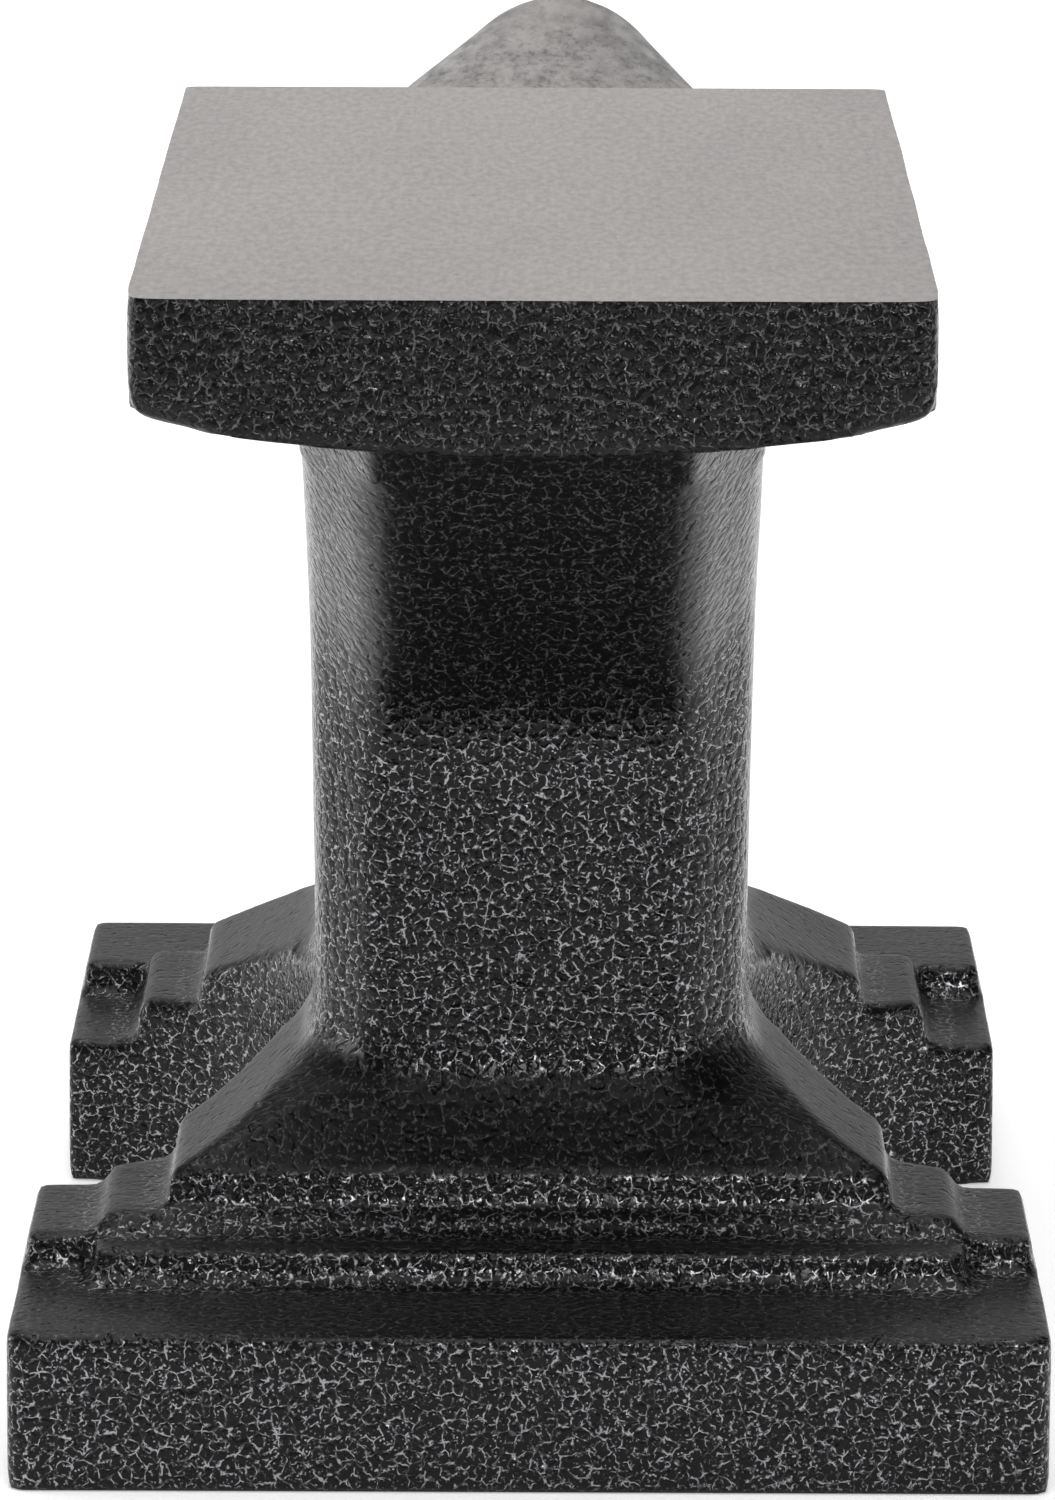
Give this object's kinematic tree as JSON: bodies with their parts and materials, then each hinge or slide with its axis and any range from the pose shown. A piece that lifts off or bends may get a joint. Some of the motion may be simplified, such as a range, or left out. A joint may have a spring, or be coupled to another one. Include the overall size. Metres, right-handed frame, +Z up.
{
  "type": "anvil",
  "caption": "Small bench anvil with a ground steel face and a round horn, the rest painted in black silver-vein.",
  "frame": {"origin": "centre of the flat underside of the base, on the surface the anvil stands on", "axes": "+Z up, +Y along the anvil towards the horn, +X across it"},
  "size_m": [0.095, 0.2333, 0.11],
  "materials": {
    "vein_paint": "glossy black silver-vein paint over cast iron",
    "ground_steel": "ground flat, fine grinding marks",
    "horn_steel": "rough ground, mottled"
  },
  "bodies": {
    "root": {"base": "vein_paint", "body": "vein_paint", "cutting_table": "vein_paint", "face_plate": "ground_steel", "horn": "horn_steel"}
  },
  "joints": []
}
